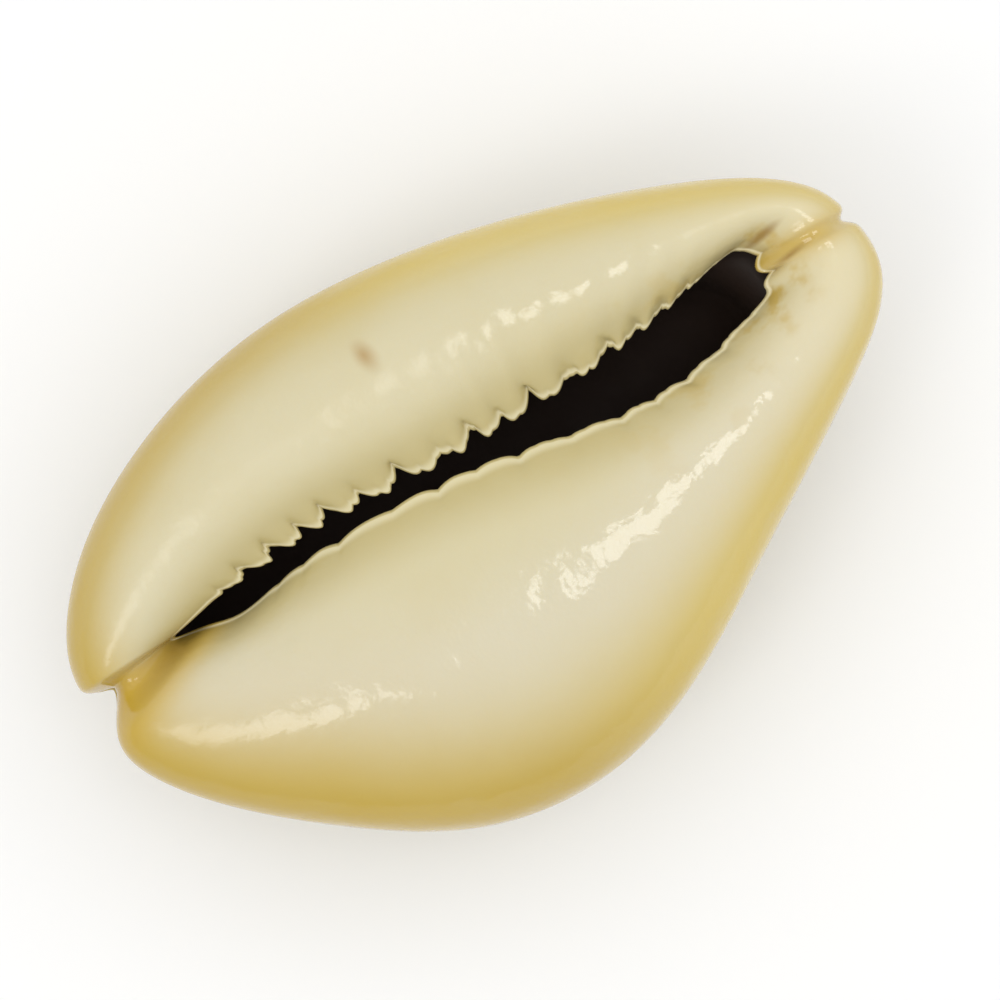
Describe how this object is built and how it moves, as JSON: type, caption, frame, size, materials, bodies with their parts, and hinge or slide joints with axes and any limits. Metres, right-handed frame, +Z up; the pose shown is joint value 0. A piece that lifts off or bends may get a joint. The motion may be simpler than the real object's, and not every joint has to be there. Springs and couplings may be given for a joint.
{
  "type": "cowrie shell",
  "caption": "Egg-shaped glossy seashell lying on its domed back, with a long toothed slit between two rounded lips facing up.",
  "frame": {"origin": "centre of the bounding box in plan, at the level of the small flat spot that the shell rests on", "axes": "+X along the shell to its front end, +Y across to the outer lip, +Z up through the slit"},
  "size_m": [0.025, 0.0158, 0.0118],
  "materials": {
    "shell": "polished porcelain-like natural shell"
  },
  "bodies": {
    "root": {"shell": "shell"}
  },
  "joints": []
}
